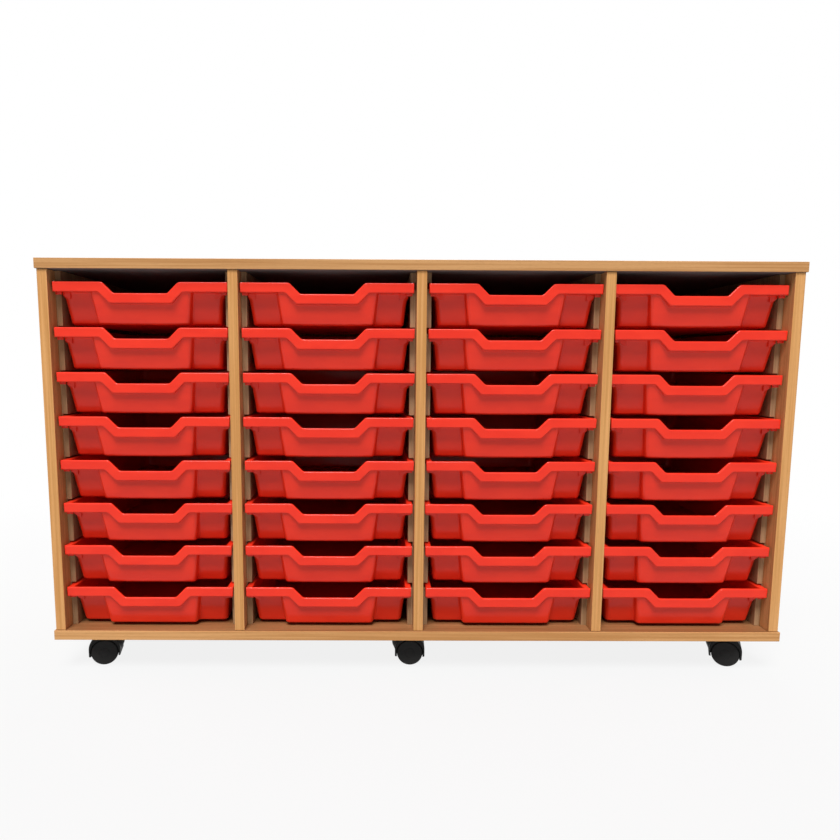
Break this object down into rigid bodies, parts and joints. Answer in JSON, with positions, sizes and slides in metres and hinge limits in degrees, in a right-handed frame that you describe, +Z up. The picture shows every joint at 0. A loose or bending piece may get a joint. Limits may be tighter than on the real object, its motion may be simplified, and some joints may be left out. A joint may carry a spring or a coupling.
{
  "type": "classroom tray storage unit",
  "caption": "Low mobile classroom cabinet in beech-effect board on castors, with columns of shallow moulded trays that slide in grooved runners.",
  "frame": {"origin": "on the floor, under the middle of the unit", "axes": "+X along the unit, to the right seen from the front; +Y from the front to the back; +Z up"},
  "size_m": [1.37, 0.452, 0.766],
  "materials": {
    "beech_board": "satin laminate",
    "liner_wood": "matt",
    "tray_plastic": "satin gloss",
    "castor_plastic": "satin",
    "wheel_plastic": "matt"
  },
  "bodies": {
    "carcass": {"top_board": "beech_board", "base_board": "beech_board", "left_side": "beech_board", "right_side": "beech_board", "back_panel": "beech_board", "divider_1": "beech_board", "divider_2": "beech_board", "divider_3": "beech_board", "liner_c1_left": "liner_wood", "liner_c1_right": "liner_wood", "liner_c2_left": "liner_wood", "liner_c2_right": "liner_wood", "liner_c3_left": "liner_wood", "liner_c3_right": "liner_wood", "liner_c4_left": "liner_wood", "liner_c4_right": "liner_wood"},
    "tray_c1_r1": {"tray_c1_r1": "tray_plastic"},
    "tray_c1_r2": {"tray_c1_r2": "tray_plastic"},
    "tray_c1_r3": {"tray_c1_r3": "tray_plastic"},
    "tray_c1_r4": {"tray_c1_r4": "tray_plastic"},
    "tray_c1_r5": {"tray_c1_r5": "tray_plastic"},
    "tray_c1_r6": {"tray_c1_r6": "tray_plastic"},
    "tray_c1_r7": {"tray_c1_r7": "tray_plastic"},
    "tray_c1_r8": {"tray_c1_r8": "tray_plastic"},
    "tray_c2_r1": {"tray_c2_r1": "tray_plastic"},
    "tray_c2_r2": {"tray_c2_r2": "tray_plastic"},
    "tray_c2_r3": {"tray_c2_r3": "tray_plastic"},
    "tray_c2_r4": {"tray_c2_r4": "tray_plastic"},
    "tray_c2_r5": {"tray_c2_r5": "tray_plastic"},
    "tray_c2_r6": {"tray_c2_r6": "tray_plastic"},
    "tray_c2_r7": {"tray_c2_r7": "tray_plastic"},
    "tray_c2_r8": {"tray_c2_r8": "tray_plastic"},
    "tray_c3_r1": {"tray_c3_r1": "tray_plastic"},
    "tray_c3_r2": {"tray_c3_r2": "tray_plastic"},
    "tray_c3_r3": {"tray_c3_r3": "tray_plastic"},
    "tray_c3_r4": {"tray_c3_r4": "tray_plastic"},
    "tray_c3_r5": {"tray_c3_r5": "tray_plastic"},
    "tray_c3_r6": {"tray_c3_r6": "tray_plastic"},
    "tray_c3_r7": {"tray_c3_r7": "tray_plastic"},
    "tray_c3_r8": {"tray_c3_r8": "tray_plastic"},
    "tray_c4_r1": {"tray_c4_r1": "tray_plastic"},
    "tray_c4_r2": {"tray_c4_r2": "tray_plastic"},
    "tray_c4_r3": {"tray_c4_r3": "tray_plastic"},
    "tray_c4_r4": {"tray_c4_r4": "tray_plastic"},
    "tray_c4_r5": {"tray_c4_r5": "tray_plastic"},
    "tray_c4_r6": {"tray_c4_r6": "tray_plastic"},
    "tray_c4_r7": {"tray_c4_r7": "tray_plastic"},
    "tray_c4_r8": {"tray_c4_r8": "tray_plastic"},
    "castor_front_left": {"castor_housing_front_left": "castor_plastic"},
    "castor_front_middle": {"castor_housing_front_middle": "castor_plastic"},
    "castor_front_right": {"castor_housing_front_right": "castor_plastic"},
    "castor_rear_left": {"castor_housing_rear_left": "castor_plastic"},
    "castor_rear_middle": {"castor_housing_rear_middle": "castor_plastic"},
    "castor_rear_right": {"castor_housing_rear_right": "castor_plastic"},
    "wheels_front_left": {"castor_wheels_front_left": "wheel_plastic"},
    "wheels_front_middle": {"castor_wheels_front_middle": "wheel_plastic"},
    "wheels_front_right": {"castor_wheels_front_right": "wheel_plastic"},
    "wheels_rear_left": {"castor_wheels_rear_left": "wheel_plastic"},
    "wheels_rear_middle": {"castor_wheels_rear_middle": "wheel_plastic"},
    "wheels_rear_right": {"castor_wheels_rear_right": "wheel_plastic"}
  },
  "joints": [
    {"name": "castor_front_left_swivel", "type": "hinge", "parent": "carcass", "child": "castor_front_left", "pos_m": [-0.596, -0.17, 0.064], "axis": [0, 0, 1], "continuous": true},
    {"name": "castor_front_left_roll", "type": "hinge", "parent": "castor_front_left", "child": "wheels_front_left", "pos_m": [-0.60969, -0.17291, 0.025], "axis": [-0.2079, 0.9781, 0], "continuous": true},
    {"name": "castor_front_middle_swivel", "type": "hinge", "parent": "carcass", "child": "castor_front_middle", "pos_m": [-0.027, -0.17, 0.064], "axis": [0, 0, 1], "continuous": true},
    {"name": "castor_front_middle_roll", "type": "hinge", "parent": "castor_front_middle", "child": "wheels_front_middle", "pos_m": [-0.01301, -0.17049, 0.025], "axis": [0.0349, 0.9994, 0], "continuous": true},
    {"name": "castor_front_right_swivel", "type": "hinge", "parent": "carcass", "child": "castor_front_right", "pos_m": [0.596, -0.17, 0.064], "axis": [0, 0, 1], "continuous": true},
    {"name": "castor_front_right_roll", "type": "hinge", "parent": "castor_front_right", "child": "wheels_front_right", "pos_m": [0.60879, -0.17569, 0.025], "axis": [0.4067, 0.9135, 0], "continuous": true},
    {"name": "castor_rear_left_swivel", "type": "hinge", "parent": "carcass", "child": "castor_rear_left", "pos_m": [-0.596, 0.17, 0.064], "axis": [0, 0, 1], "continuous": true},
    {"name": "castor_rear_left_roll", "type": "hinge", "parent": "castor_rear_left", "child": "wheels_rear_left", "pos_m": [-0.60986, 0.17195, 0.025], "axis": [0.1392, 0.9903, 0], "continuous": true},
    {"name": "castor_rear_middle_swivel", "type": "hinge", "parent": "carcass", "child": "castor_rear_middle", "pos_m": [-0.027, 0.17, 0.064], "axis": [0, 0, 1], "continuous": true},
    {"name": "castor_rear_middle_roll", "type": "hinge", "parent": "castor_rear_middle", "child": "wheels_rear_middle", "pos_m": [-0.04039, 0.16591, 0.025], "axis": [-0.2924, 0.9563, 0], "continuous": true},
    {"name": "castor_rear_right_swivel", "type": "hinge", "parent": "carcass", "child": "castor_rear_right", "pos_m": [0.596, 0.17, 0.064], "axis": [0, 0, 1], "continuous": true},
    {"name": "castor_rear_right_roll", "type": "hinge", "parent": "castor_rear_right", "child": "wheels_rear_right", "pos_m": [0.60958, 0.17339, 0.025], "axis": [-0.2419, 0.9703, 0], "continuous": true},
    {"name": "tray_c1_r1_slide", "type": "slide", "parent": "carcass", "child": "tray_c1_r1", "axis": [0, -1, 0], "range_m": [0, 0.3]},
    {"name": "tray_c2_r3_slide", "type": "slide", "parent": "carcass", "child": "tray_c2_r3", "axis": [0, -1, 0], "range_m": [0, 0.3]},
    {"name": "tray_c3_r5_slide", "type": "slide", "parent": "carcass", "child": "tray_c3_r5", "axis": [0, -1, 0], "range_m": [0, 0.3]},
    {"name": "tray_c4_r8_slide", "type": "slide", "parent": "carcass", "child": "tray_c4_r8", "axis": [0, -1, 0], "range_m": [0, 0.3]},
    {"name": "tray_c1_r8_slide", "type": "slide", "parent": "carcass", "child": "tray_c1_r8", "axis": [0, -1, 0], "range_m": [0, 0.3]},
    {"name": "tray_c4_r1_slide", "type": "slide", "parent": "carcass", "child": "tray_c4_r1", "axis": [0, -1, 0], "range_m": [0, 0.3]},
    {"name": "tray_c2_r6_slide", "type": "slide", "parent": "carcass", "child": "tray_c2_r6", "axis": [0, -1, 0], "range_m": [0, 0.3]},
    {"name": "tray_c3_r2_slide", "type": "slide", "parent": "carcass", "child": "tray_c3_r2", "axis": [0, -1, 0], "range_m": [0, 0.3]},
    {"name": "tray_c1_r2_slide", "type": "slide", "parent": "carcass", "child": "tray_c1_r2", "axis": [0, -1, 0], "range_m": [0, 0.3]},
    {"name": "tray_c1_r3_slide", "type": "slide", "parent": "carcass", "child": "tray_c1_r3", "axis": [0, -1, 0], "range_m": [0, 0.3]},
    {"name": "tray_c1_r4_slide", "type": "slide", "parent": "carcass", "child": "tray_c1_r4", "axis": [0, -1, 0], "range_m": [0, 0.3]},
    {"name": "tray_c1_r5_slide", "type": "slide", "parent": "carcass", "child": "tray_c1_r5", "axis": [0, -1, 0], "range_m": [0, 0.3]},
    {"name": "tray_c1_r6_slide", "type": "slide", "parent": "carcass", "child": "tray_c1_r6", "axis": [0, -1, 0], "range_m": [0, 0.3]},
    {"name": "tray_c1_r7_slide", "type": "slide", "parent": "carcass", "child": "tray_c1_r7", "axis": [0, -1, 0], "range_m": [0, 0.3]},
    {"name": "tray_c2_r1_slide", "type": "slide", "parent": "carcass", "child": "tray_c2_r1", "axis": [0, -1, 0], "range_m": [0, 0.3]},
    {"name": "tray_c2_r2_slide", "type": "slide", "parent": "carcass", "child": "tray_c2_r2", "axis": [0, -1, 0], "range_m": [0, 0.3]},
    {"name": "tray_c2_r4_slide", "type": "slide", "parent": "carcass", "child": "tray_c2_r4", "axis": [0, -1, 0], "range_m": [0, 0.3]},
    {"name": "tray_c2_r5_slide", "type": "slide", "parent": "carcass", "child": "tray_c2_r5", "axis": [0, -1, 0], "range_m": [0, 0.3]},
    {"name": "tray_c2_r7_slide", "type": "slide", "parent": "carcass", "child": "tray_c2_r7", "axis": [0, -1, 0], "range_m": [0, 0.3]},
    {"name": "tray_c2_r8_slide", "type": "slide", "parent": "carcass", "child": "tray_c2_r8", "axis": [0, -1, 0], "range_m": [0, 0.3]},
    {"name": "tray_c3_r1_slide", "type": "slide", "parent": "carcass", "child": "tray_c3_r1", "axis": [0, -1, 0], "range_m": [0, 0.3]},
    {"name": "tray_c3_r3_slide", "type": "slide", "parent": "carcass", "child": "tray_c3_r3", "axis": [0, -1, 0], "range_m": [0, 0.3]},
    {"name": "tray_c3_r4_slide", "type": "slide", "parent": "carcass", "child": "tray_c3_r4", "axis": [0, -1, 0], "range_m": [0, 0.3]},
    {"name": "tray_c3_r6_slide", "type": "slide", "parent": "carcass", "child": "tray_c3_r6", "axis": [0, -1, 0], "range_m": [0, 0.3]},
    {"name": "tray_c3_r7_slide", "type": "slide", "parent": "carcass", "child": "tray_c3_r7", "axis": [0, -1, 0], "range_m": [0, 0.3]},
    {"name": "tray_c3_r8_slide", "type": "slide", "parent": "carcass", "child": "tray_c3_r8", "axis": [0, -1, 0], "range_m": [0, 0.3]},
    {"name": "tray_c4_r2_slide", "type": "slide", "parent": "carcass", "child": "tray_c4_r2", "axis": [0, -1, 0], "range_m": [0, 0.3]},
    {"name": "tray_c4_r3_slide", "type": "slide", "parent": "carcass", "child": "tray_c4_r3", "axis": [0, -1, 0], "range_m": [0, 0.3]},
    {"name": "tray_c4_r4_slide", "type": "slide", "parent": "carcass", "child": "tray_c4_r4", "axis": [0, -1, 0], "range_m": [0, 0.3]},
    {"name": "tray_c4_r5_slide", "type": "slide", "parent": "carcass", "child": "tray_c4_r5", "axis": [0, -1, 0], "range_m": [0, 0.3]},
    {"name": "tray_c4_r6_slide", "type": "slide", "parent": "carcass", "child": "tray_c4_r6", "axis": [0, -1, 0], "range_m": [0, 0.3]},
    {"name": "tray_c4_r7_slide", "type": "slide", "parent": "carcass", "child": "tray_c4_r7", "axis": [0, -1, 0], "range_m": [0, 0.3]}
  ]
}
